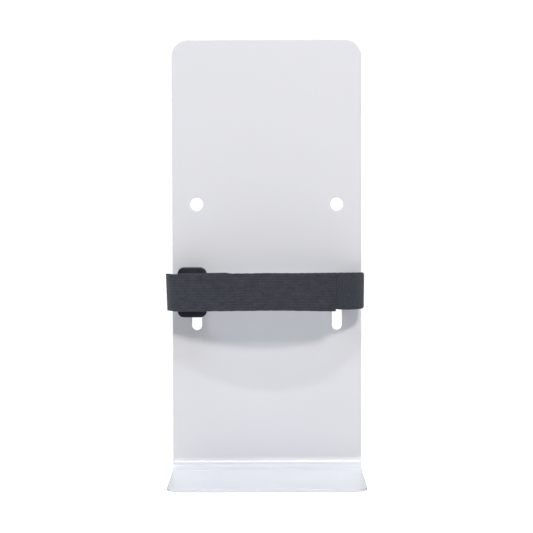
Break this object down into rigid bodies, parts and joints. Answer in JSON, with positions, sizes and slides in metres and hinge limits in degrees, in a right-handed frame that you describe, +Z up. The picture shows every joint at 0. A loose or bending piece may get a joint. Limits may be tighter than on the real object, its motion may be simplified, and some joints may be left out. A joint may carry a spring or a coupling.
{
  "type": "oxygen cylinder wall bracket",
  "caption": "White sheet-metal wall bracket with a shelf, and a black elastic cinch strap on a slide buckle that holds a small gas cylinder upright.",
  "frame": {"origin": "midway between the two wall screw holes, on the plate's back face, which is the wall plane", "axes": "+Z up along the plate, +Y into the wall, +X to the right for someone facing the bracket"},
  "size_m": [0.1387, 0.1123, 0.3085],
  "materials": {
    "white_powder_coat": "smooth glossy powder coat",
    "black_elastic": "ribbed woven elastic",
    "loop_pile": "soft brushed loop pile",
    "hook_nylon": "stiff nylon hooks",
    "black_plastic": "moulded, satin to glossy",
    "black_thread": "twisted polyester thread"
  },
  "bodies": {
    "bracket": {"back_plate": "white_powder_coat"},
    "strap": {"strap_band": "black_elastic", "loop_tape": "loop_pile", "slide_buckle": "black_plastic", "end_stitching": "black_thread", "loop_stitching": "black_thread"},
    "loose_end": {"strap_tail": "black_elastic", "hook_patch": "hook_nylon", "patch_stitching": "black_thread"}
  },
  "joints": [
    {"name": "strap_shift", "type": "slide", "parent": "bracket", "child": "strap", "axis": [0, 0, 1], "range_m": [-0.0135, 0]},
    {"name": "tail_peel", "type": "hinge", "parent": "strap", "child": "loose_end", "pos_m": [0.00786, -0.05893, -0.06004], "axis": [0, -0.0488, -0.9988], "range_deg": [0, 120]}
  ]
}
